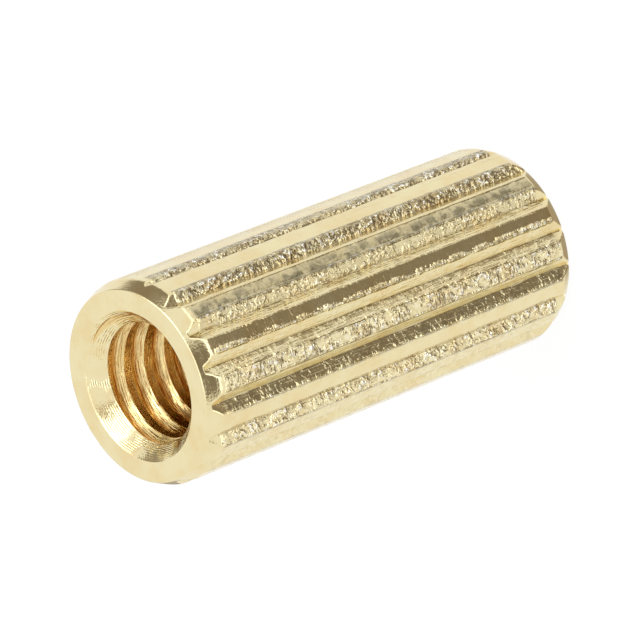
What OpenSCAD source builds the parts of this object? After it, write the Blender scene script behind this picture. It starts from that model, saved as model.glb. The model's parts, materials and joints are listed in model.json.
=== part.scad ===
// Round standoff with a straight-knurled outside and a tapped hole right through it.
// All sizes are in millimetres. The part stands on its bottom end, with its axis along +Z
// and the origin at the centre of the bottom face.

/* [Body] */

// Distance between the two flat end faces.
body_length = 8.3; // [4:0.1:25]

// Outside diameter, measured over the crests of the knurl.
outer_diameter = 3.5; // [3.3:0.05:4]

/* [Knurl] */

// Teeth around the body.
tooth_count = 17; // [15:1:20]

// Radial depth of the grooves between the teeth.
tooth_depth = 0.165; // [0.08:0.005:0.2]

// Width of the flat-topped crest that is left on each tooth, in degrees around the axis.
crest_angle = 8.2; // [5:0.2:10]

// How far below the top face the grooves begin to run out towards the chamfer.
groove_end_height = 0.19; // [0.1:0.01:0.3]

/* [End chamfers] */

// How far the top chamfer takes in the edge, measured on the radius.
top_chamfer_width = 0.13; // [0.04:0.01:0.16]

// Height of the top chamfer along the axis.
top_chamfer_height = 0.31; // [0.1:0.01:0.5]

// How far the bottom chamfer takes in the edge, measured on the radius.
bottom_chamfer_width = 0.1; // [0.04:0.01:0.16]

// Height of the bottom chamfer along the axis.
bottom_chamfer_height = 0.22; // [0.1:0.01:0.5]

/* [Tapped hole] */

// Drilled diameter of the hole, ready for an M2.5 x 0.45 thread.
drill_diameter = 2; // [1.9:0.05:2.15]

// Diameter of the countersink where it opens in each end face.
mouth_diameter = 2.54; // [2.3:0.02:2.7]

// Full angle of the countersink cone.
countersink_angle = 90; // [80:5:120]

/* [Output] */

// Sub-part to build. "all" builds the whole part.

/* [Hidden] */

$fn = 96;

// Extra length of the cutting tools past each end face.
overrun = 0.5;

crest_radius = outer_diameter / 2;
valley_radius = crest_radius - tooth_depth;
tooth_pitch = 360 / tooth_count;
top_face_radius = crest_radius - top_chamfer_width;
bottom_face_radius = crest_radius - bottom_chamfer_width;
drill_radius = drill_diameter / 2;
mouth_radius = mouth_diameter / 2;
countersink_depth = (mouth_radius - drill_radius) / tan(countersink_angle / 2);

brass = [0.88, 0.78, 0.5];

// Point at a radius and an angle around the axis.
function polar(radius, angle) = [radius * cos(angle), radius * sin(angle)];

// Corner where a flank meets the crest, and the bottom of the next groove.
crest_corner = polar(crest_radius, crest_angle / 2);
groove_bottom = polar(valley_radius, tooth_pitch / 2);

// Radius where the two flanks of one tooth would meet above its flat crest.
apex_radius = crest_corner[0] + crest_corner[1]
    * (crest_corner[0] - groove_bottom[0]) / (groove_bottom[1] - crest_corner[1]);

// Cross-section of the knurl with every tooth drawn up to its sharp apex.
// The blank it is cut from brings the crests down to the outside diameter.
module knurl_section() {
    polygon([
        for (tooth = [0 : tooth_count - 1])
            for (corner = [[apex_radius, 0], [valley_radius, tooth_pitch / 2]])
                polar(corner[0], tooth * tooth_pitch + corner[1])
    ]);
}

// Straight grooves that run out past the bottom end and up a 45 degree cone at the top end.
module knurl_teeth() {
    cone_height = valley_radius + groove_end_height + overrun;
    translate([0, 0, -overrun])
        linear_extrude(height = body_length + 2 * overrun)
            knurl_section();
    translate([0, 0, body_length + overrun - cone_height])
        cylinder(h = cone_height, r1 = 0, r2 = cone_height);
}

// Turned blank with a lead chamfer at each end.
module turned_blank() {
    rotate_extrude()
        polygon([
            [0, 0],
            [bottom_face_radius, 0],
            [crest_radius, bottom_chamfer_height],
            [crest_radius, body_length - top_chamfer_height],
            [top_face_radius, body_length],
            [0, body_length]
        ]);
}

// Drill with a countersink at each end, as one turned cutter.
module through_hole() {
    cutter_radius = mouth_radius + overrun * tan(countersink_angle / 2);
    rotate_extrude()
        polygon([
            [0, -overrun],
            [cutter_radius, -overrun],
            [drill_radius, countersink_depth],
            [drill_radius, body_length - countersink_depth],
            [cutter_radius, body_length + overrun],
            [0, body_length + overrun]
        ]);
}

// The whole standoff. The chamfers cut across the teeth and end each one in a scallop.
module standoff_body() {
    color(brass)
        difference() {
            intersection() {
                turned_blank();
                knurl_teeth();
            }
            through_hole();
        }
}

standoff_body();
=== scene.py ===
"""Looks of a round brass standoff: straight knurl, lead chamfers and a tapped through hole.

Every length is in metres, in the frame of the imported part: +Z runs along the axis and the
bottom end face lies on z = 0. Angles are in radians unless a name says otherwise.
"""

import json
import math

import bmesh
import bpy
from bpy.props import FloatProperty, FloatVectorProperty, IntProperty
from mathutils import Matrix, Vector, noise


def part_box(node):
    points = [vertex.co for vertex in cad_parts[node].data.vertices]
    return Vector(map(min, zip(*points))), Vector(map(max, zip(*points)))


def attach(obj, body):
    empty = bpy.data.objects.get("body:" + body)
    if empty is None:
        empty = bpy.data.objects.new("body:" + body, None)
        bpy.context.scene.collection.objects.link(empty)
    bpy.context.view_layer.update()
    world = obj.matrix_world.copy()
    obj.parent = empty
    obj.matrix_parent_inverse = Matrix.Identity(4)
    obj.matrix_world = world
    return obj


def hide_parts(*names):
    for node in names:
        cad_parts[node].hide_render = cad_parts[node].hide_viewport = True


bl_info = {
    "name": "Knurled Standoff",
    "version": (1, 0, 0),
    "blender": (4, 5, 0),
    "location": "View3D > Sidebar > Standoff",
    "description": "Builds a round knurled brass standoff and a small studio to show it in",
    "category": "Add Mesh",
}

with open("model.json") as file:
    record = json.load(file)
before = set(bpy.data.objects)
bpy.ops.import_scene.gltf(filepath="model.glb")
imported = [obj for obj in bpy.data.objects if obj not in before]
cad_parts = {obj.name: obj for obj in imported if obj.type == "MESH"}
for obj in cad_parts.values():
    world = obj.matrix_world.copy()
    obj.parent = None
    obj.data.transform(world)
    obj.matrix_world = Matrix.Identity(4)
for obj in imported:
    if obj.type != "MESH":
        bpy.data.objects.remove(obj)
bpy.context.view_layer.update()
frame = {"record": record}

MM = 0.001
MICRON = 0.000001
NODE = "standoff_body"
LOW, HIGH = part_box(NODE)
MOUNTS = {mount["name"]: mount for mount in frame["record"]["mounts"]}
DRILL = MOUNTS["thread_top"]["dims"]


class StandoffSizes(bpy.types.PropertyGroup):
    """Sizes of the standoff."""

    body_length: FloatProperty(
        name="Length",
        description="Distance between the two flat end faces",
        default=HIGH.z - LOW.z,
        unit="LENGTH",
        subtype="DISTANCE",
    )
    outer_radius: FloatProperty(
        name="Outer radius",
        description="Radius over the crests of the knurl",
        default=HIGH.x,
        unit="LENGTH",
        subtype="DISTANCE",
    )
    drill_radius: FloatProperty(
        name="Drill radius",
        description="Radius of the inner edge of the thread",
        default=DRILL["r_mm"] * MM,
        unit="LENGTH",
        subtype="DISTANCE",
    )
    countersink_depth: FloatProperty(
        name="Countersink depth",
        description="Depth of the countersink at each end",
        default=(HIGH.z - LOW.z - DRILL["length_mm"] * MM) / 2,
        unit="LENGTH",
        subtype="DISTANCE",
    )
    countersink_angle: FloatProperty(
        name="Countersink angle",
        description="Full angle of the countersink cone",
        default=math.radians(90),
        unit="ROTATION",
        subtype="ANGLE",
    )
    tooth_count: IntProperty(
        name="Teeth",
        description="Teeth of the knurl around the body",
        default=17,
        min=5,
    )
    tooth_depth: FloatProperty(
        name="Tooth depth",
        description="Radial depth of the grooves between the teeth",
        default=0.14 * MM,
        unit="LENGTH",
        subtype="DISTANCE",
    )
    crest_angle: FloatProperty(
        name="Crest angle",
        description="Width of the flat-topped crest of each tooth",
        default=math.radians(8.2),
        unit="ROTATION",
        subtype="ANGLE",
    )
    groove_end_height: FloatProperty(
        name="Groove end height",
        description="How far below the top face the grooves begin to run out",
        default=0.12 * MM,
        unit="LENGTH",
        subtype="DISTANCE",
    )
    top_chamfer_width: FloatProperty(
        name="Top chamfer width",
        description="How far the top chamfer takes in the edge",
        default=0.13 * MM,
        unit="LENGTH",
        subtype="DISTANCE",
    )
    top_chamfer_height: FloatProperty(
        name="Top chamfer height",
        description="Height of the top chamfer along the axis",
        default=0.31 * MM,
        unit="LENGTH",
        subtype="DISTANCE",
    )
    bottom_chamfer_width: FloatProperty(
        name="Bottom chamfer width",
        description="How far the bottom chamfer takes in the edge",
        default=0.1 * MM,
        unit="LENGTH",
        subtype="DISTANCE",
    )
    bottom_chamfer_height: FloatProperty(
        name="Bottom chamfer height",
        description="Height of the bottom chamfer along the axis",
        default=0.22 * MM,
        unit="LENGTH",
        subtype="DISTANCE",
    )
    thread_pitch: FloatProperty(
        name="Thread pitch",
        description="Pitch of the right-hand thread",
        default=0.45 * MM,
        unit="LENGTH",
        subtype="DISTANCE",
    )
    thread_major_radius: FloatProperty(
        name="Thread major radius",
        description="Radius of the bottom of the thread's grooves",
        default=1.2 * MM,
        unit="LENGTH",
        subtype="DISTANCE",
    )
    thread_start: FloatProperty(
        name="Thread start",
        description="Angle that the thread is turned to",
        default=math.radians(105),
        unit="ROTATION",
        subtype="ANGLE",
    )


class StandoffFinish(bpy.types.PropertyGroup):
    """Colours of the standoff's brass, with the painted shade and painted highlights laid on it."""

    brass: FloatVectorProperty(
        name="Brass",
        description="Clean cut brass",
        default=(0.85, 0.75, 0.455),
        subtype="COLOR",
        min=0,
        max=1,
    )
    deep_brass: FloatVectorProperty(
        name="Deep brass",
        description="Brass with a first film of tarnish",
        default=(0.82, 0.66, 0.35),
        subtype="COLOR",
        min=0,
        max=1,
    )
    # Painted shade: darkens the pits between the torn grains and the bottom of each groove of the
    # knurl.
    painted_pit_shade: FloatVectorProperty(
        name="Painted pit shade",
        description="Pits between the grains of torn brass",
        default=(0.24, 0.16, 0.08),
        subtype="COLOR",
        min=0,
        max=1,
    )
    # Painted highlight: lightens the tips of the torn grains like glints of light.
    painted_grain_highlight: FloatVectorProperty(
        name="Painted grain highlight",
        description="Burnished tips of the grains of torn brass",
        default=(1.0, 0.97, 0.88),
        subtype="COLOR",
        min=0,
        max=1,
    )
    filmed_brass: FloatVectorProperty(
        name="Filmed brass",
        description="Blotches of a dull film on some crests",
        default=(0.30, 0.26, 0.155),
        subtype="COLOR",
        min=0,
        max=1,
    )
    thread_crest: FloatVectorProperty(
        name="Thread crest",
        description="Inner edge of the thread",
        default=(0.86, 0.69, 0.34),
        subtype="COLOR",
        min=0,
        max=1,
    )
    # Painted shade, amber like light bounced between the flanks: darkens the bottom of the thread's
    # grooves and patches deeper in the hole.
    painted_thread_shade: FloatVectorProperty(
        name="Painted thread shade",
        description="Bottom of the thread's grooves",
        default=(0.56, 0.26, 0.04),
        subtype="COLOR",
        min=0,
        max=1,
    )


# ---------------------------------------------------------------- outlines


def line_points(start, end, spacing):
    """Points from start to end, the end left out, no further apart than spacing."""
    count = max(1, math.ceil((end - start).length / spacing))
    return [start.lerp(end, step / count) for step in range(count)]


def corner_points(before, corner, after, radius, steps):
    """Points of the round that replaces a corner of an outline, both ends included."""
    to_before = (before - corner).normalized()
    to_after = (after - corner).normalized()
    half = to_before.angle(to_after) / 2
    reach = radius / math.tan(half)
    centre = corner + (to_before + to_after).normalized() * (radius / math.sin(half))
    first = (corner + to_before * reach - centre).normalized()
    last = (corner + to_after * reach - centre).normalized()
    return [centre + first.slerp(last, step / steps) * radius for step in range(steps + 1)]


def rounded_outline(corners, rounds, spacings):
    """An open outline through its corners, with the inner ones rounded.

    rounds holds (radius, steps) for each inner corner, and spacings the largest distance
    between points on each straight stretch.
    """
    points = []
    start = corners[0]
    for index, (radius, steps) in enumerate(rounds, start=1):
        arc = corner_points(*corners[index - 1 : index + 2], radius, steps)
        points += line_points(start, arc[0], spacings[index - 1]) + arc[:-1]
        start = arc[-1]
    points += line_points(start, corners[-1], spacings[-1])
    return points + [corners[-1]]


def soft_min(first, second, reach):
    """The smaller of two values, with the corner between them rounded over reach."""
    overlap = max(reach - abs(first - second), 0.0) / reach
    return min(first, second) - overlap * overlap * reach / 4


def soft_max(first, second, reach):
    """The larger of two values, with the corner between them rounded over reach."""
    return -soft_min(-first, -second, reach)


def bell(distance, width):
    """A hump that is 1 where distance is 0 and dies away over width."""
    return math.exp(-((distance / width) ** 2))


# ---------------------------------------------------------------- body

# How much narrower than the thread's inner edge the blank's pilot hole is.
PILOT_ALLOWANCE = 0.05 * MM

# Rounds of the turned outline: radius and steps.
MOUTH_ROUND = (0.012 * MM, 2)
FACE_EDGE_ROUND = (0.02 * MM, 3)
BOTTOM_CHAMFER_ROUND = (0.06 * MM, 3)
TOP_CHAMFER_ROUND = (0.3 * MM, 10)

# Largest distance between rings on each kind of surface.
CONE_SPACING = 0.06 * MM
FACE_SPACING = 0.06 * MM
TOP_CHAMFER_SPACING = 0.009 * MM
BOTTOM_CHAMFER_SPACING = 0.018 * MM
SIDE_SPACING = 0.1 * MM

# Steps of the knurl over half a tooth, as shares of the half tooth, crest middle to groove.
# They crowd round the corner of the crest, where the surface turns quickly.
TOOTH_STEPS = (0.0, 0.2, 0.32, 0.37, 0.42, 0.47, 0.53, 0.59, 0.65, 0.71, 0.77, 0.83, 0.89, 0.95)

# Distances over which the surfaces run into each other.
CREST_BLEND = 0.012 * MM
GROOVE_END_BLEND = 0.02 * MM
CHAMFER_BLEND = 0.045 * MM

# Room under the outside radius that ragged edges may rise into.
EDGE_ALLOWANCE = 9 * MICRON

# Raised lip that the chamfering tool leaves along each scallop.
LIP_HEIGHT = 15 * MICRON
LIP_WIDTH = 28 * MICRON
LIP_OFFSET = 12 * MICRON

# Side on which the knurl is shallower, with its spread and how far the flanks stand out.
SHALLOW_AZIMUTH_DEG = -10
SHALLOW_SPREAD_DEG = 34
SHALLOW_RISE = 0.085 * MM

# Wander of the flanks, torn edges of the crests and small dents: (height, size) of each.
FLANK_WANDER = (7 * MICRON, 0.5 * MM)
EDGE_TEAR = (11 * MICRON, 0.09 * MM)
DENT = (9 * MICRON, 0.16 * MM)
DENT_THRESHOLD = 0.42

# How far outside the thread the dents start.
DENT_CLEARANCE = 2 * EDGE_ALLOWANCE

# How far a torn edge reaches from the corner of the crest, the strength below which it is
# left out, and how many lumps of its noise fall on a radian round the body.
EDGE_TEAR_REACH = 0.02 * MM
EDGE_TEAR_LEAST = 0.05
EDGE_TEAR_PER_RADIAN = 40

# Steps in the noise from one tooth to the next, and from the middle to one of its sides.
WANDER_TOOTH_STEP = 3.7
WANDER_SIDE_STEP = 1.3
TEAR_TOOTH_STEP = 5.1


def turned_outline(sizes):
    """Half section of the turned blank, from the bottom of the pilot hole to its top."""
    radius, length = sizes.outer_radius, sizes.body_length
    spread = math.tan(sizes.countersink_angle / 2)
    mouth = sizes.drill_radius + sizes.countersink_depth * spread
    pilot = sizes.drill_radius - PILOT_ALLOWANCE
    pilot_depth = (mouth - pilot) / spread
    corners = [
        (pilot, pilot_depth),
        (mouth, 0),
        (radius - sizes.bottom_chamfer_width, 0),
        (radius, sizes.bottom_chamfer_height),
        (radius, length - sizes.top_chamfer_height),
        (radius - sizes.top_chamfer_width, length),
        (mouth, length),
        (pilot, length - pilot_depth),
    ]
    rounds = [
        MOUTH_ROUND,
        FACE_EDGE_ROUND,
        BOTTOM_CHAMFER_ROUND,
        TOP_CHAMFER_ROUND,
        FACE_EDGE_ROUND,
        MOUTH_ROUND,
    ]
    spacings = [
        CONE_SPACING,
        FACE_SPACING,
        BOTTOM_CHAMFER_SPACING,
        SIDE_SPACING,
        TOP_CHAMFER_SPACING,
        FACE_SPACING,
        CONE_SPACING,
    ]
    return rounded_outline([Vector(corner) for corner in corners], rounds, spacings)


class Knurl:
    """The knurl's section, with the wander and tears of each tooth."""

    def __init__(self, sizes):
        self.half_tooth = math.pi / sizes.tooth_count
        self.half_crest = sizes.crest_angle / 2
        self.crest_radius = sizes.outer_radius - EDGE_ALLOWANCE
        self.valley_radius = sizes.outer_radius - sizes.tooth_depth
        self.groove_top = sizes.body_length - sizes.groove_end_height
        corner = self.polar(sizes.outer_radius, self.half_crest)
        valley = self.polar(self.valley_radius, self.half_tooth)
        along = (valley - corner).normalized()
        self.flank_normal = Vector((along.y, -along.x))
        self.flank_distance = corner.dot(self.flank_normal)
        self.places = self.ring_places(sizes.tooth_count)

    @staticmethod
    def polar(radius, angle):
        return Vector((math.cos(angle), math.sin(angle))) * radius

    def ring_places(self, tooth_count):
        """(tooth, angle from its middle) of every point round the knurl."""
        shares = [*TOOTH_STEPS, 1.0, *[-share for share in reversed(TOOTH_STEPS[1:])]]
        return [
            (tooth + (share < 0), share * self.half_tooth)
            for tooth in range(tooth_count)
            for share in shares
        ]

    def angle(self, tooth, offset):
        return tooth * 2 * self.half_tooth + offset

    def rise(self, tooth, side):
        """How far a flank stands out because the knurl is shallower on one side."""
        groove = math.degrees(self.angle(tooth, side * self.half_tooth))
        away = (groove - SHALLOW_AZIMUTH_DEG + 180) % 360 - 180
        return SHALLOW_RISE * bell(away, SHALLOW_SPREAD_DEG)

    def radius(self, tooth, offset, height):
        """Radius of the knurl at an angle from the middle of a tooth."""
        side = 1 if offset > 0 else -1
        folded = abs(offset)
        wander_height, wander_size = FLANK_WANDER
        place = (tooth * WANDER_TOOTH_STEP, side * WANDER_SIDE_STEP, height / wander_size)
        wander = noise.noise(Vector(place)) * wander_height
        distance = self.flank_distance + wander + self.rise(tooth, side)
        flank = distance / self.flank_normal.dot(self.polar(1, folded))
        radius = soft_min(self.crest_radius, flank, CREST_BLEND)
        tear_height, tear_size = EDGE_TEAR
        near_edge = bell(self.crest_radius - flank, EDGE_TEAR_REACH)
        if near_edge > EDGE_TEAR_LEAST:
            across = tooth * TEAR_TOOTH_STEP + side
            place = (across, offset * EDGE_TEAR_PER_RADIAN, height / tear_size)
            radius += noise.noise(Vector(place)) * tear_height * near_edge
        run_out = self.valley_radius + height - self.groove_top
        radius = soft_max(radius, run_out, GROOVE_END_BLEND)
        return min(radius, self.crest_radius + EDGE_ALLOWANCE)


def next_ring(mesh, ring):
    """Extrudes a closed ring of vertices and returns the new ring in the same order."""
    edges = [mesh.edges.get((ring[index - 1], ring[index])) for index in range(len(ring))]
    made = bmesh.ops.extrude_edge_only(mesh, edges=edges)["geom"]
    fresh = {item for item in made if isinstance(item, bmesh.types.BMVert)}
    return [
        next(
            other
            for other in (edge.other_vert(vertex) for edge in vertex.link_edges)
            if other in fresh
        )
        for vertex in ring
    ]


def dent_depth(place):
    """Depth of the small dents at a place on the surface."""
    height, size = DENT
    strength = noise.noise(place / size)
    return max(0.0, strength - DENT_THRESHOLD) / (1 - DENT_THRESHOLD) * height


def place_ring(ring, knurl, point, sizes):
    """Moves a ring to one point of the turned outline, cut back to the knurl."""
    turned, height = point
    from_side = (sizes.outer_radius - turned) / CHAMFER_BLEND
    lip_height = LIP_HEIGHT * min(1.0, max(0.0, from_side))
    outside = turned > sizes.thread_major_radius + DENT_CLEARANCE
    for vertex, (tooth, offset) in zip(ring, knurl.places):
        tooth %= sizes.tooth_count
        cut = knurl.radius(tooth, offset, height)
        radius = soft_min(turned, cut, CHAMFER_BLEND)
        if lip_height > 0:
            radius += lip_height * bell(turned - cut - LIP_OFFSET, LIP_WIDTH)
            radius = min(radius, sizes.outer_radius)
        spot = knurl.polar(radius, knurl.angle(tooth, offset)).to_3d()
        spot.z = height
        if outside:
            spot.xy *= 1 - dent_depth(spot) / radius
        vertex.co = spot


def knurled_blank(sizes):
    """The knurled and chamfered blank as a closed bmesh, with a narrow pilot hole."""
    mesh = bmesh.new()
    knurl = Knurl(sizes)
    outline = turned_outline(sizes)
    ring = bmesh.ops.create_circle(mesh, segments=len(knurl.places), radius=1)["verts"]
    first = ring
    place_ring(ring, knurl, outline[0], sizes)
    for point in outline[1:]:
        ring = next_ring(mesh, ring)
        place_ring(ring, knurl, point, sizes)
    closing = [
        mesh.edges.get((loop[index - 1], loop[index]))
        for loop in (first, ring)
        for index in range(len(loop))
    ]
    bmesh.ops.bridge_loops(mesh, edges=closing)
    bmesh.ops.recalc_face_normals(mesh, faces=mesh.faces)
    side_low = sizes.bottom_chamfer_height
    side_high = sizes.body_length - sizes.top_chamfer_height
    for face in mesh.faces:
        middle = face.calc_center_median()
        outside = middle.xy.length > sizes.thread_major_radius
        knurled = side_low < middle.z < side_high and outside
        face.material_index = KNURLED if knurled else TURNED
    return mesh


# ---------------------------------------------------------------- thread

THREAD_SEGMENTS = 64
THREAD_OVERRUN_TURNS = 2

# Share of the pitch within which the points of neighbouring turns are joined.
THREAD_WELD_SHARE = 0.001

# Tips that close the tap: pitches below its start, and pitches past its whole turns.
LOWER_TIP_PITCHES = 1
UPPER_TIP_PITCHES = 3

# Share of the pitch that stays flat at the inner edge and at the bottom of the groove.
THREAD_CREST_SHARE = 0.38
THREAD_ROOT_SHARE = 0.10
THREAD_EDGE_ROUND = (0.025 * MM, 3)
THREAD_ROOT_ROUND = (0.02 * MM, 1)


def thread_profile(sizes):
    """One pitch of the tap's outline as (radius, height), from crest middle to middle."""
    pitch = sizes.thread_pitch
    inner, outer = sizes.drill_radius, sizes.thread_major_radius
    crest_half = THREAD_CREST_SHARE * pitch / 2
    root_half = THREAD_ROOT_SHARE * pitch / 2
    corners = [
        (inner, 0),
        (inner, crest_half),
        (outer, pitch / 2 - root_half),
        (outer, pitch / 2 + root_half),
        (inner, pitch - crest_half),
        (inner, pitch),
    ]
    rounds = [THREAD_EDGE_ROUND, THREAD_ROOT_ROUND, THREAD_ROOT_ROUND, THREAD_EDGE_ROUND]
    return rounded_outline(
        [Vector(corner) for corner in corners], rounds, [pitch] * (len(corners) - 1)
    )


def tap(sizes):
    """The tap that cuts the thread: its outline spun for one turn, and that turn repeated."""
    mesh = bmesh.new()
    pitch = sizes.thread_pitch
    turns = math.ceil(sizes.body_length / pitch) + 2 * THREAD_OVERRUN_TURNS
    start = -THREAD_OVERRUN_TURNS * pitch
    profile = [
        mesh.verts.new((radius, 0, height + start)) for radius, height in thread_profile(sizes)
    ]
    edges = [mesh.edges.new(pair) for pair in zip(profile, profile[1:])]
    bmesh.ops.spin(
        mesh,
        geom=profile + edges,
        axis=(0, 0, 1),
        cent=(0, 0, 0),
        dvec=(0, 0, pitch / THREAD_SEGMENTS),
        angle=2 * math.pi,
        steps=THREAD_SEGMENTS,
    )
    one_turn = list(mesh.verts) + list(mesh.edges) + list(mesh.faces)
    for turn in range(1, turns):
        copied = bmesh.ops.duplicate(mesh, geom=one_turn)["geom"]
        points = [item for item in copied if isinstance(item, bmesh.types.BMVert)]
        bmesh.ops.translate(mesh, verts=points, vec=(0, 0, turn * pitch))
    bmesh.ops.remove_doubles(mesh, verts=mesh.verts, dist=pitch * THREAD_WELD_SHARE)
    middle = sizes.body_length / 2
    lower_tip = start - LOWER_TIP_PITCHES * pitch
    upper_tip = start + (turns + UPPER_TIP_PITCHES) * pitch
    for tip, is_upper in ((lower_tip, False), (upper_tip, True)):
        rim = [
            edge
            for edge in mesh.edges
            if edge.is_boundary and (edge.verts[0].co.z > middle) == is_upper
        ]
        made = bmesh.ops.extrude_edge_only(mesh, edges=rim)["geom"]
        rim_copy = [item for item in made if isinstance(item, bmesh.types.BMVert)]
        bmesh.ops.pointmerge(mesh, verts=rim_copy, merge_co=(0, 0, tip))
    bmesh.ops.recalc_face_normals(mesh, faces=mesh.faces)
    turn = Matrix.Rotation(sizes.thread_start, 3, "Z")
    bmesh.ops.rotate(mesh, verts=mesh.verts, cent=(0, 0, 0), matrix=turn)
    for face in mesh.faces:
        face.material_index = TAPPED
    return mesh


def to_object(name, mesh, materials):
    """Turns a bmesh into an object of the scene at the origin."""
    data = bpy.data.meshes.new(name)
    mesh.to_mesh(data)
    mesh.free()
    for material in materials:
        data.materials.append(material)
    made = bpy.data.objects.new(name, data)
    bpy.context.scene.collection.objects.link(made)
    return made


def cut(body, tool):
    """Takes the tool's volume out of the body for good, and deletes the tool."""
    modifier = body.modifiers.new("cut", "BOOLEAN")
    modifier.operation = "DIFFERENCE"
    modifier.solver = "MANIFOLD"
    modifier.object = tool
    depsgraph = bpy.context.evaluated_depsgraph_get()
    result = bpy.data.meshes.new_from_object(body.evaluated_get(depsgraph))
    body.modifiers.clear()
    old = body.data
    body.data = result
    bpy.data.meshes.remove(old)
    tool_mesh = tool.data
    bpy.data.objects.remove(tool)
    bpy.data.meshes.remove(tool_mesh)


# ---------------------------------------------------------------- shader nodes

# Sockets of a Mix node, which share their names and so are told apart by index.
MIX_FACTOR = 0
MIX_NUMBER_A, MIX_NUMBER_B, MIX_NUMBER_RESULT = 2, 3, 0
MIX_COLOUR_A, MIX_COLOUR_B, MIX_COLOUR_RESULT = 6, 7, 2


def add_node(tree, kind, inputs=None, **settings):
    """Adds a node. inputs holds a value or another node's socket for each input."""
    node = tree.nodes.new(kind)
    for name, value in settings.items():
        setattr(node, name, value)
    for key, value in (inputs or {}).items():
        if isinstance(value, bpy.types.NodeSocket):
            tree.links.new(value, node.inputs[key])
        else:
            node.inputs[key].default_value = value
    return node


def calc(tree, operation, *values, clamp=False):
    """Output of a Math node."""
    inputs = dict(enumerate(values))
    return add_node(tree, "ShaderNodeMath", inputs, operation=operation, use_clamp=clamp).outputs[0]


def scaled(tree, vector, factors):
    """A vector multiplied by fixed factors."""
    inputs = {0: vector, 1: factors}
    return add_node(tree, "ShaderNodeVectorMath", inputs, operation="MULTIPLY").outputs[0]


def ramp(tree, value, start, end, low=0.0, high=1.0):
    """A value taken smoothly from low to high as another goes from start to end."""
    inputs = {"Value": value, "From Min": start, "From Max": end, "To Min": low, "To Max": high}
    node = add_node(tree, "ShaderNodeMapRange", inputs, interpolation_type="SMOOTHSTEP")
    return node.outputs["Result"]


def grain(tree, vector, size, detail=2.0, roughness=0.5):
    """Noise between 0 and 1 whose lumps are about as large as size."""
    inputs = {"Vector": vector, "Scale": 1 / size, "Detail": detail, "Roughness": roughness}
    return add_node(tree, "ShaderNodeTexNoise", inputs).outputs["Fac"]


def blend(tree, factor, first, second):
    """Mix of two colours."""
    inputs = {MIX_FACTOR: factor, MIX_COLOUR_A: first, MIX_COLOUR_B: second}
    node = add_node(tree, "ShaderNodeMix", inputs, data_type="RGBA")
    return node.outputs[MIX_COLOUR_RESULT]


def new_group(name, inputs, outputs):
    """A node group with named sockets, given as (name, kind, default)."""
    group = bpy.data.node_groups.new(name, "ShaderNodeTree")
    for label, kind, default in inputs:
        socket = group.interface.new_socket(label, in_out="INPUT", socket_type=kind)
        if default is not None:
            socket.default_value = default
    for label, kind in outputs:
        group.interface.new_socket(label, in_out="OUTPUT", socket_type=kind)
    return group, group.nodes.new("NodeGroupInput"), group.nodes.new("NodeGroupOutput")


VECTOR, NUMBER, COLOUR = "NodeSocketVector", "NodeSocketFloat", "NodeSocketColor"

# Step in the noise from one tooth to the next, so that no two teeth look alike.
NOISE_TOOTH_STEP = 13.7 * MM

# Drift of the turning marks: size, detail and roughness of its noise.
MARK_DRIFT = (0.2 * MM, 3.0, 0.65)

# Noise of the torn metal's grain and of its patches, and where the patches fade out and in.
TORN_GRAIN_NOISE = {"Detail": 1.5, "Roughness": 0.5}
TORN_PATCH_NOISE = {"Detail": 3.0, "Roughness": 0.6}
TORN_PATCH_RAMP = (0.42, 0.6)

# Slow changes of tone: noise, where the film fades in, and the size of its clouds.
TONE_NOISE = {"Detail": 4.0, "Roughness": 0.6}
TONE_RAMP = (0.35, 0.75)
TONE_SPREAD = 0.5 * MM


def place_group():
    """Where a point lies: radius, height, and its place on its tooth of the knurl."""
    inputs = [("Point", VECTOR, None), ("Teeth", NUMBER, 17.0), ("Tooth Width", NUMBER, 0.6 * MM)]
    outputs = [
        ("Radius", NUMBER),
        ("Height", NUMBER),
        ("Turns", NUMBER),
        ("Across", NUMBER),
        ("On Tooth", VECTOR),
    ]
    group, source, result = new_group("Place on the standoff", inputs, outputs)
    apart = add_node(group, "ShaderNodeSeparateXYZ", {"Vector": source.outputs["Point"]})
    x, y, z = apart.outputs
    flat = add_node(group, "ShaderNodeCombineXYZ", {"X": x, "Y": y})
    radius = add_node(group, "ShaderNodeVectorMath", {0: flat.outputs[0]}, operation="LENGTH")
    turns = calc(group, "DIVIDE", calc(group, "ARCTAN2", y, x), 2 * math.pi)
    teeth = calc(group, "MULTIPLY_ADD", turns, source.outputs["Teeth"], 0.5)
    across = calc(group, "SUBTRACT", calc(group, "FRACT", teeth), 0.5)
    tooth = calc(group, "FLOOR", teeth)
    sideways = calc(group, "MULTIPLY", across, source.outputs["Tooth Width"])
    spread = calc(group, "MULTIPLY", tooth, NOISE_TOOTH_STEP)
    on_tooth = add_node(group, "ShaderNodeCombineXYZ", {"X": sideways, "Y": spread, "Z": z})
    group.links.new(radius.outputs["Value"], result.inputs["Radius"])
    group.links.new(z, result.inputs["Height"])
    group.links.new(turns, result.inputs["Turns"])
    group.links.new(across, result.inputs["Across"])
    group.links.new(on_tooth.outputs[0], result.inputs["On Tooth"])
    return group


def turning_marks_group():
    """Fine parallel tool marks along one measure, such as the height or the radius."""
    inputs = [
        ("Measure", NUMBER, 0.0),
        ("Point", VECTOR, None),
        ("Feed", NUMBER, 0.09 * MM),
        ("Raggedness", NUMBER, 0.5),
    ]
    group, source, result = new_group("Turning marks", inputs, [("Height", NUMBER)])
    point = source.outputs["Point"]
    drift = calc(group, "SUBTRACT", grain(group, point, *MARK_DRIFT), 0.5)
    shift = calc(group, "MULTIPLY", drift, source.outputs["Raggedness"])
    steps = calc(group, "DIVIDE", source.outputs["Measure"], source.outputs["Feed"])
    phase = calc(group, "MULTIPLY", calc(group, "ADD", steps, shift), 2 * math.pi)
    wave = calc(group, "MULTIPLY_ADD", calc(group, "SINE", phase), 0.5, 0.5)
    group.links.new(wave, result.inputs["Height"])
    return group


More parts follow.
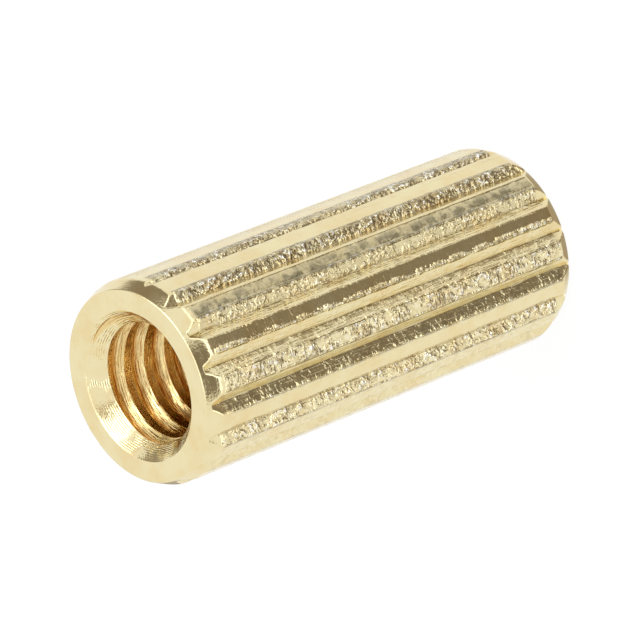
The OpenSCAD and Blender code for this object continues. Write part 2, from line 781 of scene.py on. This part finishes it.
def torn_metal_group():
    """Grain of metal that a tool has smeared along one direction."""
    inputs = [
        ("Point", VECTOR, None),
        ("Grain Size", NUMBER, 0.04 * MM),
        ("Patch Size", NUMBER, 0.4 * MM),
    ]
    outputs = [("Height", NUMBER), ("Patches", NUMBER)]
    group, source, result = new_group("Torn metal", inputs, outputs)
    point = source.outputs["Point"]
    fine_scale = calc(group, "DIVIDE", 1.0, source.outputs["Grain Size"])
    patch_scale = calc(group, "DIVIDE", 1.0, source.outputs["Patch Size"])
    fine_inputs = {"Vector": point, "Scale": fine_scale, **TORN_GRAIN_NOISE}
    fine = add_node(group, "ShaderNodeTexNoise", fine_inputs).outputs["Fac"]
    patch_inputs = {"Vector": point, "Scale": patch_scale, **TORN_PATCH_NOISE}
    patch = add_node(group, "ShaderNodeTexNoise", patch_inputs).outputs["Fac"]
    patches = ramp(group, patch, *TORN_PATCH_RAMP)
    group.links.new(fine, result.inputs["Height"])
    group.links.new(patches, result.inputs["Patches"])
    return group


def tone_group():
    """Slow changes of the brass between clean and lightly tarnished."""
    inputs = [
        ("Point", VECTOR, None),
        ("Clean", COLOUR, (1, 1, 1, 1)),
        ("Deep", COLOUR, (1, 1, 1, 1)),
        ("Spread", NUMBER, TONE_SPREAD),
    ]
    group, source, result = new_group("Brass tone", inputs, [("Colour", COLOUR)])
    scale = calc(group, "DIVIDE", 1.0, source.outputs["Spread"])
    noise_inputs = {"Vector": source.outputs["Point"], "Scale": scale, **TONE_NOISE}
    cloud = add_node(group, "ShaderNodeTexNoise", noise_inputs).outputs["Fac"]
    amount = ramp(group, cloud, *TONE_RAMP)
    tone = blend(group, amount, source.outputs["Clean"], source.outputs["Deep"])
    group.links.new(tone, result.inputs["Colour"])
    return group


def use_group(tree, group, inputs):
    """Adds a group to a tree and joins its inputs."""
    return add_node(tree, "ShaderNodeGroup", inputs, node_tree=group)


class Brass:
    """A brass material under construction, with the parts that every brass surface has."""

    def __init__(self, name, groups, finish, sizes):
        self.material = bpy.data.materials.new(name)
        self.material.use_nodes = True
        self.tree = self.material.node_tree
        self.groups = groups
        self.shader = self.tree.nodes["Principled BSDF"]
        self.shader.inputs["Metallic"].default_value = 1.0
        coordinates = add_node(self.tree, "ShaderNodeTexCoord")
        self.point = coordinates.outputs["Object"]
        tooth_width = 2 * math.pi * sizes.outer_radius / sizes.tooth_count
        place_inputs = {
            "Point": self.point,
            "Teeth": float(sizes.tooth_count),
            "Tooth Width": tooth_width,
        }
        self.place = use_group(self.tree, groups["place"], place_inputs).outputs
        tone_inputs = {
            "Point": self.point,
            "Clean": (*finish.brass, 1),
            "Deep": (*finish.deep_brass, 1),
            "Spread": TONE_SPREAD,
        }
        self.tone = use_group(self.tree, groups["tone"], tone_inputs).outputs["Colour"]

    def marks(self, measure, feed, raggedness):
        """Height of the tool marks along a measure."""
        inputs = {
            "Measure": measure,
            "Point": self.point,
            "Feed": feed,
            "Raggedness": raggedness,
        }
        return use_group(self.tree, self.groups["marks"], inputs).outputs["Height"]

    def torn(self, point, grain_size, patch_size):
        """Height and patches of torn metal."""
        inputs = {"Point": point, "Grain Size": grain_size, "Patch Size": patch_size}
        return use_group(self.tree, self.groups["torn"], inputs).outputs

    def finish_with(self, colour, roughness, microns):
        """Joins colour, roughness and a bump whose height is given in thousandths of a mm."""
        inputs = {"Height": microns, "Distance": MICRON, "Strength": 1.0}
        bump = add_node(self.tree, "ShaderNodeBump", inputs)
        links = self.tree.links
        links.new(colour, self.shader.inputs["Base Color"])
        if isinstance(roughness, float):
            self.shader.inputs["Roughness"].default_value = roughness
        else:
            links.new(roughness, self.shader.inputs["Roughness"])
        links.new(bump.outputs["Normal"], self.shader.inputs["Normal"])
        return self.material


# How torn the knurl is round the body: (azimuth in degrees, amount).
TORN_SIDES = (
    (-180, 0.2), (-145, 0.2), (-143, 0.8), (-138, 0.8), (-136, 0.25), (-130, 0.0),
    (-124, 0.1), (-122.5, 0.55), (-121, 0.14), (-117, 0.14), (-115.5, 0.05), (-110.5, 0.05),
    (-109.5, 0.85), (-102, 0.85), (-101, 0.15), (-96, 0.15), (-90, 0.05), (-89, 0.9),
    (-87.5, 0.7), (-86, 0.1), (-81, 0.07), (-80, 0.1), (-75, 0.15), (-73.5, 0.5),
    (-69, 0.5), (-67.5, 0.8), (-66, 0.1), (-60, 0.05), (-53.5, 0.05), (-51.5, 1.0),
    (-47, 1.0), (-45.5, 0.05), (-32.5, 0.0), (-30.5, 1.0), (-26, 1.0), (-24, 0.05),
    (2, 0.1), (6, 0.8), (14, 0.8), (16, 0.1), (40, 0.1), (42, 0.7), (50, 0.7), (53, 0.2),
    (80, 0.1), (84, 0.9), (90, 0.9), (93, 0.2), (120, 0.1), (124, 0.8), (132, 0.8), (135, 0.1),
    (160, 0.2), (164, 0.7), (172, 0.7), (176, 0.2), (180, 0.2),
)

# How strong the dull film is round the body: (azimuth in degrees, amount).
FILMED_SIDES = (
    (-180, 0.0), (-124, 0.0), (-122, 0.45), (-118, 0.45), (-116, 0.0), (-90, 0.0),
    (-88, 0.1), (-81, 0.1), (-80, 0.0), (-75, 0.0), (-73, 0.25), (-69, 0.25), (-67, 1.0),
    (-63, 1.0), (-60, 0.6), (-59, 0.0), (-52.5, 0.0), (-51, 0.75), (-47.5, 0.75), (-46, 0.0),
    (-32, 0.0), (-30, 0.6), (-26, 0.6), (-24.5, 0.0), (38, 0.0), (40, 0.5), (46, 0.5),
    (48, 0.0), (122, 0.0), (124, 0.4), (130, 0.4), (132, 0.0), (180, 0.0),
)


def side_curve(tree, turns, stops):
    """A value that changes round the body, from its (azimuth in degrees, value) stops."""
    share = calc(tree, "ADD", turns, 0.5)
    node = add_node(tree, "ShaderNodeFloatCurve", {"Value": share})
    curve = node.mapping.curves[0]
    curve.points[0].location = (0, stops[0][1])
    curve.points[1].location = (1, stops[-1][1])
    for azimuth, value in stops[1:-1]:
        curve.points.new(azimuth / 360 + 0.5, value)
    for point in curve.points:
        point.handle_type = "VECTOR"
    node.mapping.update()
    return node.outputs[0]


# Torn metal on the knurl: factors across, between and along the teeth, which stretch it
# where they are small, then the size of its grains and of its patches.
STREAKS = ((1, 1, 0.05), 0.022 * MM, 0.09 * MM)
GRAINS = ((1, 1, 0.75), 0.06 * MM, 0.22 * MM)
CHATTER = ((0.15, 1, 1), 0.05 * MM, 0.2 * MM)
BURR = ((0.5, 1, 1), 0.04 * MM, 0.3 * MM)

# Height of each on the knurl, in thousandths of a millimetre.
STREAK_MICRONS = 9.0
CHATTER_MICRONS = 70.0
GRAIN_MICRONS = 70.0
BURR_MICRONS = 60.0
CREST_MICRONS = 1.5

# Shares of a tooth's width: the softness of the crest's edges, the band of the burrs on
# them, and the painted shade down the bottom of each groove.
CREST_EDGE_SOFTNESS = 0.015
BURR_BAND = (0.04, 0.01)
PAINTED_GROOVE_SHADE = (0.455, 0.485)
PAINTED_GROOVE_SHADE_AMOUNT = 0.35

# Distances below the top chamfer between which the tears and the film begin.
TEARS_BEGIN = (0.03 * MM, 0.12 * MM)

# How much of the tears and of the burrs comes in patches, and how much is everywhere.
TORN_PATCHES = (0.7, 0.3)
BURR_PATCHES = (0.8, 0.2)
GRAIN_LOST_ON_CREST = 0.55

# Ramps as (start, end) or (start, end, low, high): burrs by how torn the side is, blotches
# of the film, the painted shade in the pits between the grains and the painted highlight on their
# tips.
BURR_BY_SIDE = (0.05, 0.45, 0.08, 1.0)
BLOTCH_SIZE = 0.14 * MM
BLOTCHES = (0.4, 0.6, 0.45, 1.0)
PIT_SHADE_RAMP = (0.52, 0.42, 0.0, 0.7)
TIP_HIGHLIGHT_RAMP = (0.56, 0.64)
KNURL_ROUGHNESS = (0.12, 0.16)


def knurled_brass(groups, finish, sizes):
    """Crests with turning marks and torn edges, flanks smeared along the grooves."""
    brass = Brass("knurled brass", groups, finish, sizes)
    tree = brass.tree
    on_tooth = brass.place["On Tooth"]
    folded = calc(tree, "ABSOLUTE", brass.place["Across"])
    crest_edge = sizes.crest_angle / 2 / (2 * math.pi / sizes.tooth_count)
    edge_inside, edge_outside = crest_edge - CREST_EDGE_SOFTNESS, crest_edge + CREST_EDGE_SOFTNESS
    on_crest = ramp(tree, folded, edge_outside, edge_inside)
    off_crest = calc(tree, "SUBTRACT", 1.0, on_crest)
    from_edge = calc(tree, "ABSOLUTE", calc(tree, "SUBTRACT", folded, crest_edge))
    at_edge = ramp(tree, from_edge, *BURR_BAND)
    streaks, grains, chatter, burr = [
        brass.torn(scaled(tree, on_tooth, factors), grain_size, patch_size)
        for factors, grain_size, patch_size in (STREAKS, GRAINS, CHATTER, BURR)
    ]

    side = side_curve(tree, brass.place["Turns"], TORN_SIDES)
    patchy = calc(tree, "MULTIPLY_ADD", grains["Patches"], *TORN_PATCHES)
    start = sizes.body_length - sizes.top_chamfer_height
    begun = ramp(tree, brass.place["Height"], start - TEARS_BEGIN[0], start - TEARS_BEGIN[1])
    torn = calc(tree, "MULTIPLY", calc(tree, "MULTIPLY", side, patchy), begun)
    edge_patchy = calc(tree, "MULTIPLY_ADD", burr["Patches"], *BURR_PATCHES)
    edge_amount = calc(tree, "MULTIPLY", edge_patchy, ramp(tree, side, *BURR_BY_SIDE))
    edge = calc(tree, "MULTIPLY", at_edge, calc(tree, "MULTIPLY", edge_amount, begun))

    flank = calc(tree, "MULTIPLY", streaks["Height"], off_crest)
    microns = calc(tree, "MULTIPLY", flank, STREAK_MICRONS)
    ridges = calc(tree, "MULTIPLY", calc(tree, "MULTIPLY", chatter["Height"], on_crest), torn)
    ridges = calc(tree, "MULTIPLY", ridges, torn)
    microns = calc(tree, "MULTIPLY_ADD", ridges, CHATTER_MICRONS, microns)
    grain_share = calc(tree, "MULTIPLY_ADD", on_crest, -GRAIN_LOST_ON_CREST, 1.0)
    rough_grains = calc(tree, "MULTIPLY", grains["Height"], torn)
    rough_grains = calc(tree, "MULTIPLY", rough_grains, grain_share)
    microns = calc(tree, "MULTIPLY_ADD", rough_grains, GRAIN_MICRONS, microns)
    rough_edge = calc(tree, "MULTIPLY", burr["Height"], edge)
    microns = calc(tree, "MULTIPLY_ADD", rough_edge, BURR_MICRONS, microns)
    fine = calc(tree, "MULTIPLY", chatter["Height"], on_crest)
    microns = calc(tree, "MULTIPLY_ADD", fine, CREST_MICRONS, microns)

    film = side_curve(tree, brass.place["Turns"], FILMED_SIDES)
    blotches = ramp(tree, grain(tree, on_tooth, BLOTCH_SIZE), *BLOTCHES)
    film = calc(tree, "MULTIPLY", calc(tree, "MULTIPLY", film, blotches), begun)
    loose = calc(tree, "MAXIMUM", torn, edge)
    # Painted shade in the pits between the grains.
    low = calc(tree, "MULTIPLY", ramp(tree, grains["Height"], *PIT_SHADE_RAMP), loose)
    # Painted highlight on the tips of the grains.
    high = calc(tree, "MULTIPLY", ramp(tree, grains["Height"], *TIP_HIGHLIGHT_RAMP), loose)
    # Painted shade down the bottom of each groove.
    groove_shade = calc(tree, "MULTIPLY", ramp(tree, folded, *PAINTED_GROOVE_SHADE), PAINTED_GROOVE_SHADE_AMOUNT)
    low = calc(tree, "MAXIMUM", low, groove_shade)
    colour = blend(tree, film, brass.tone, (*finish.filmed_brass, 1))
    colour = blend(tree, low, colour, (*finish.painted_pit_shade, 1))
    colour = blend(tree, high, colour, (*finish.painted_grain_highlight, 1))
    roughness = ramp(tree, loose, 0.0, 1.0, *KNURL_ROUGHNESS)
    return brass.finish_with(colour, roughness, microns)


# Rings of the turning tool: feed, raggedness, height in thousandths of a millimetre in the
# countersink and on the face, and the size and strength of the patches they show in.
RING_FEED = 0.055 * MM
RING_RAGGEDNESS = 1.2
RING_MICRONS = (5.0, 1.5)
RING_PATCH_SIZE = 0.35 * MM
RING_PATCHES = (0.42, 0.6, 0.1, 1.0)

# Grain of the turned surfaces: size of its grains and patches, and its height.
TURNED_GRAIN = (0.035 * MM, 0.3 * MM)
TURNED_GRAIN_MICRONS = 3.0
TURNED_ROUGHNESS = (0.1, 0.18)

# Softness of the face's outer edge and of the mouth, where the rings change.
FACE_EDGE_SOFTNESS = 0.01 * MM
MOUTH_SOFTNESS = 0.02 * MM


def turned_brass(groups, finish, sizes):
    """End faces, chamfers and countersinks with the rings of the turning tool."""
    brass = Brass("turned brass", groups, finish, sizes)
    tree = brass.tree
    measure = calc(tree, "ADD", brass.place["Radius"], brass.place["Height"])
    rings = brass.marks(measure, RING_FEED, RING_RAGGEDNESS)
    grains = brass.torn(brass.point, *TURNED_GRAIN)
    face_edge = sizes.outer_radius - sizes.top_chamfer_width
    edge_inside, edge_outside = face_edge - FACE_EDGE_SOFTNESS, face_edge + FACE_EDGE_SOFTNESS
    on_face = ramp(tree, brass.place["Radius"], edge_outside, edge_inside)
    mouth = sizes.drill_radius + sizes.countersink_depth
    ring_depth = ramp(tree, brass.place["Radius"], mouth - MOUTH_SOFTNESS, mouth, *RING_MICRONS)
    ring_patches = ramp(tree, grain(tree, brass.point, RING_PATCH_SIZE), *RING_PATCHES)
    ring_depth = calc(tree, "MULTIPLY", ring_depth, ring_patches)
    microns = calc(tree, "MULTIPLY", calc(tree, "MULTIPLY", rings, on_face), ring_depth)
    microns = calc(tree, "MULTIPLY_ADD", grains["Height"], TURNED_GRAIN_MICRONS, microns)
    roughness = ramp(tree, grains["Patches"], 0.0, 1.0, *TURNED_ROUGHNESS)
    return brass.finish_with(brass.tone, roughness, microns)


# Scores along the thread: length that a whole turn takes up in their noise, size of their
# grains and patches, and their height in thousandths of a millimetre.
SCORE_TURN = 0.4 * MM
SCORES = (0.022 * MM, 0.08 * MM)
SCORE_MICRONS = 13.0

# Painted shade in the grooves, amber like light bounced between the flanks: where it starts
# outside the inner edge of the thread and ends short of the outer one, how it fades towards
# the hole's ends, and how much of it is spread in patches over the rest.
THREAD_SHADE_START = 0.07 * MM
THREAD_SHADE_END = 0.02 * MM
THREAD_SHADE_FROM_END = (0.2 * MM, 0.5 * MM, 0.15, 1.0)
THREAD_SHADE_PATCHES = 0.3
TAPPED_ROUGHNESS = 0.08


def tapped_brass(groups, finish, sizes):
    """Thread with fine scores along the helix, and painted shade down in its grooves and in patches
    over the hole.
    """
    brass = Brass("tapped brass", groups, finish, sizes)
    tree = brass.tree
    lead = calc(tree, "MULTIPLY", brass.place["Turns"], sizes.thread_pitch)
    level = calc(tree, "SUBTRACT", brass.place["Height"], lead)
    around = calc(tree, "MULTIPLY", brass.place["Turns"], SCORE_TURN)
    inputs = {"X": brass.place["Radius"], "Y": level, "Z": around}
    along = add_node(tree, "ShaderNodeCombineXYZ", inputs).outputs[0]
    scores = brass.torn(along, *SCORES)
    inner = sizes.drill_radius + THREAD_SHADE_START
    outer = sizes.thread_major_radius - THREAD_SHADE_END
    # Painted shade deep in the thread's grooves, fading towards the hole's ends.
    deep = ramp(tree, brass.place["Radius"], inner, outer)
    height = brass.place["Height"]
    from_top = calc(tree, "SUBTRACT", sizes.body_length, height)
    from_end = calc(tree, "MINIMUM", height, from_top)
    inside = ramp(tree, from_end, *THREAD_SHADE_FROM_END)
    deep = calc(tree, "MULTIPLY", deep, inside)
    colour = blend(tree, deep, (*finish.thread_crest, 1), (*finish.painted_thread_shade, 1))
    # Painted shade spread in patches over the rest of the hole, stronger away from its ends.
    patchy_thread_shade = calc(tree, "MULTIPLY", inside, THREAD_SHADE_PATCHES)
    patchy_thread_shade = calc(tree, "MULTIPLY", scores["Patches"], patchy_thread_shade)
    colour = blend(tree, patchy_thread_shade, colour, (*finish.painted_thread_shade, 1))
    microns = calc(tree, "MULTIPLY", scores["Height"], SCORE_MICRONS)
    return brass.finish_with(colour, TAPPED_ROUGHNESS, microns)


KNURLED, TURNED, TAPPED = range(3)


def brass_materials(finish, sizes):
    """The three brass surfaces, in the order of the material indices."""
    groups = {
        "place": place_group(),
        "marks": turning_marks_group(),
        "torn": torn_metal_group(),
        "tone": tone_group(),
    }
    makers = (knurled_brass, turned_brass, tapped_brass)
    return [maker(groups, finish, sizes) for maker in makers]


# ---------------------------------------------------------------- operators

# Largest angle between two faces that are still shaded as one smooth surface.
SMOOTH_ANGLE_DEG = 42


class STANDOFF_OT_body(bpy.types.Operator):
    """Build the knurled body with its tapped hole"""

    bl_idname = "standoff.body"
    bl_label = "Knurled body"
    bl_options = {"REGISTER", "UNDO"}

    def execute(self, context):
        sizes = context.scene.standoff_sizes
        materials = brass_materials(context.scene.standoff_finish, sizes)
        body = to_object("knurled_body", knurled_blank(sizes), materials)
        cut(body, to_object("tap", tap(sizes), materials))
        body.data.shade_smooth()
        body.data.set_sharp_from_angle(angle=math.radians(SMOOTH_ANGLE_DEG))
        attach(body, "root")
        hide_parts(NODE)
        return {"FINISHED"}


# The camera, from the way it sees the top end: direction, roll about its line of sight,
# lens, and where the middle of the top face lies across and up from its line of sight.
VIEW_AZIMUTH_DEG = -90
VIEW_ELEVATION_DEG = 39.76
VIEW_ROLL_DEG = -111.52
VIEW_DISTANCE = 96.25 * MM
VIEW_ACROSS = -2.926 * MM
VIEW_UP = -1.065 * MM
LENS_MM = 338.2
SENSOR_MM = 36
CLIP_START = 1 * MM


def direction(azimuth_deg, elevation_deg):
    """Unit vector towards an azimuth and elevation in degrees."""
    azimuth, elevation = math.radians(azimuth_deg), math.radians(elevation_deg)
    level = math.cos(elevation)
    return Vector((level * math.cos(azimuth), level * math.sin(azimuth), math.sin(elevation)))


def view_axes():
    """The camera's right, up and backward directions."""
    backward = direction(VIEW_AZIMUTH_DEG, VIEW_ELEVATION_DEG)
    right = Vector((0, 0, 1)).cross(backward).normalized()
    turn = Matrix.Rotation(math.radians(VIEW_ROLL_DEG), 3, backward)
    return turn @ right, turn @ backward.cross(right), backward


def add_camera(scene, sizes):
    """Sets the camera so that the top end faces it at the lower left of the view."""
    right, up, backward = view_axes()
    data = bpy.data.cameras.new("camera")
    data.lens = LENS_MM
    data.sensor_width = SENSOR_MM
    data.clip_start = CLIP_START
    camera = bpy.data.objects.new("camera", data)
    scene.collection.objects.link(camera)
    top = Vector((0, 0, sizes.body_length))
    place = top - right * VIEW_ACROSS - up * VIEW_UP + backward * VIEW_DISTANCE
    axes = Matrix((right, up, backward)).transposed().to_4x4()
    camera.matrix_world = Matrix.Translation(place) @ axes
    scene.camera = camera


# Patches of the studio seen in the metal: azimuth and elevation of the middle, half width
# and half height, all in degrees, and the light that the patch adds or takes.
STUDIO_PATCHES = (
    (-72, -47, 35, 14, -0.72),
    (-99, 8, 31, 11, -0.75),
    (-80, -18, 50, 11, 1.0),
    (6, -7, 31, 16, -0.7),
    (0, -90, 360, 28, -0.55),
    (100, -18, 22, 18, -0.55),
    (-30, 41, 16, 14, 1.3),
    (0, 62, 60, 15, 2.2),
    (0, 90, 360, 18, 1.2),
    (37, 26, 15, 24, -0.65),
    (-70, 49, 9, 11, -0.55),
)
PATCH_SOFTNESS = 0.22
STUDIO_LIGHT = 1.0
STUDIO_DARKEST = 0.2
SHADE_TINT = (1.0, 0.86, 0.70, 1.0)
WHITE = (1, 1, 1, 1)


def patch_group():
    """Amount of an oval patch of the studio in a direction, all angles in degrees."""
    labels = ("Azimuth", "Elevation", "Middle Azimuth", "Middle Elevation", "Width", "Height")
    inputs = [(label, NUMBER, 0.0) for label in labels]
    group, source, result = new_group("Studio patch", inputs, [("Amount", NUMBER)])
    azimuth, elevation, across, up, width, height = [source.outputs[label] for label in labels]
    turned = calc(group, "SUBTRACT", azimuth, across)
    wrapped = calc(group, "WRAP", turned, 180.0, -180.0)
    sideways = calc(group, "DIVIDE", wrapped, width)
    upwards = calc(group, "DIVIDE", calc(group, "SUBTRACT", elevation, up), height)
    square = calc(group, "MULTIPLY", sideways, sideways)
    square = calc(group, "MULTIPLY_ADD", upwards, upwards, square)
    distance = calc(group, "SQRT", square)
    amount = ramp(group, distance, 1 + PATCH_SOFTNESS, 1 - PATCH_SOFTNESS)
    group.links.new(amount, result.inputs["Amount"])
    return group


def studio_world():
    """A white room with darker and brighter patches, plain white to the camera itself."""
    world = bpy.data.worlds.new("studio")
    world.use_nodes = True
    tree = world.node_tree
    coordinates = add_node(tree, "ShaderNodeTexCoord").outputs["Generated"]
    x, y, z = add_node(tree, "ShaderNodeSeparateXYZ", {"Vector": coordinates}).outputs
    azimuth = calc(tree, "DEGREES", calc(tree, "ARCTAN2", y, x))
    elevation = calc(tree, "DEGREES", calc(tree, "ARCSINE", z))
    group = patch_group()
    light = STUDIO_LIGHT
    for across, up, width, height, change in STUDIO_PATCHES:
        inputs = {
            "Azimuth": azimuth,
            "Elevation": elevation,
            "Middle Azimuth": across,
            "Middle Elevation": up,
            "Width": width,
            "Height": height,
        }
        amount = use_group(tree, group, inputs).outputs["Amount"]
        light = calc(tree, "MULTIPLY_ADD", amount, change, light)
    light = calc(tree, "MAXIMUM", light, STUDIO_DARKEST)
    seen = add_node(tree, "ShaderNodeLightPath").outputs["Is Camera Ray"]
    shade = ramp(tree, light, STUDIO_DARKEST, STUDIO_LIGHT)
    clear = calc(tree, "MAXIMUM", shade, seen)
    colour = blend(tree, clear, SHADE_TINT, WHITE)
    background = tree.nodes["Background"]
    tree.links.new(colour, background.inputs["Color"])
    mixed = {MIX_FACTOR: seen, MIX_NUMBER_A: light, MIX_NUMBER_B: STUDIO_LIGHT}
    strength = add_node(tree, "ShaderNodeMix", mixed, data_type="FLOAT")
    tree.links.new(strength.outputs[MIX_NUMBER_RESULT], background.inputs["Strength"])
    return world


# Floor: half its width in metres, its grey and roughness, and the share and strength of
# its glow towards the camera.
FLOOR_SIZE = 1.0
FLOOR_GREY = 0.9
FLOOR_ROUGHNESS = 0.9
FLOOR_GLOW = 0.9
FLOOR_GLOW_STRENGTH = 1.02

# Bounces of light that reach the bottom of the hole.
LIGHT_BOUNCES = 16
GLOSSY_BOUNCES = 12


def floor_material():
    """White floor that glows a little towards the camera and keeps a faint shadow."""
    material = bpy.data.materials.new("white floor")
    material.use_nodes = True
    tree = material.node_tree
    shader = tree.nodes["Principled BSDF"]
    shader.inputs["Base Color"].default_value = (FLOOR_GREY, FLOOR_GREY, FLOOR_GREY, 1)
    shader.inputs["Roughness"].default_value = FLOOR_ROUGHNESS
    shader.inputs["Specular IOR Level"].default_value = 0.0
    glow = add_node(tree, "ShaderNodeEmission", {"Strength": FLOOR_GLOW_STRENGTH})
    seen = add_node(tree, "ShaderNodeLightPath").outputs["Is Camera Ray"]
    share = calc(tree, "MULTIPLY", seen, FLOOR_GLOW)
    inputs = {0: share, 1: shader.outputs[0], 2: glow.outputs[0]}
    mixed = add_node(tree, "ShaderNodeMixShader", inputs)
    tree.links.new(mixed.outputs[0], tree.nodes["Material Output"].inputs["Surface"])
    return material


class STANDOFF_OT_stage(bpy.types.Operator):
    """Set out the floor, the studio light and the camera"""

    bl_idname = "standoff.stage"
    bl_label = "Stage"
    bl_options = {"REGISTER", "UNDO"}

    def execute(self, context):
        scene = context.scene
        add_camera(scene, scene.standoff_sizes)
        mesh = bmesh.new()
        bmesh.ops.create_grid(mesh, x_segments=1, y_segments=1, size=FLOOR_SIZE)
        floor = to_object("floor", mesh, [floor_material()])
        floor.visible_glossy = False
        scene.world = studio_world()
        scene.cycles.max_bounces = LIGHT_BOUNCES
        scene.cycles.glossy_bounces = GLOSSY_BOUNCES
        scene.view_settings.view_transform = "Standard"
        return {"FINISHED"}


class STANDOFF_PT_panel(bpy.types.Panel):
    """Lists the steps that build the standoff"""

    bl_label = "Knurled Standoff"
    bl_idname = "STANDOFF_PT_panel"
    bl_space_type = "VIEW_3D"
    bl_region_type = "UI"
    bl_category = "Standoff"

    def draw(self, context):
        layout = self.layout
        for group in (context.scene.standoff_sizes, context.scene.standoff_finish):
            for name in group.__annotations__:
                layout.prop(group, name)
        for operator in (STANDOFF_OT_body, STANDOFF_OT_stage):
            layout.operator(operator.bl_idname)


CLASSES = (
    StandoffSizes,
    StandoffFinish,
    STANDOFF_OT_body,
    STANDOFF_OT_stage,
    STANDOFF_PT_panel,
)


def register():
    for item in CLASSES:
        bpy.utils.register_class(item)
    bpy.types.Scene.standoff_sizes = bpy.props.PointerProperty(type=StandoffSizes)
    bpy.types.Scene.standoff_finish = bpy.props.PointerProperty(type=StandoffFinish)


def unregister():
    del bpy.types.Scene.standoff_finish
    del bpy.types.Scene.standoff_sizes
    for item in reversed(CLASSES):
        bpy.utils.unregister_class(item)


def main():
    register()
    bpy.ops.standoff.body()
    bpy.ops.standoff.stage()


if __name__ == "__main__":
    main()
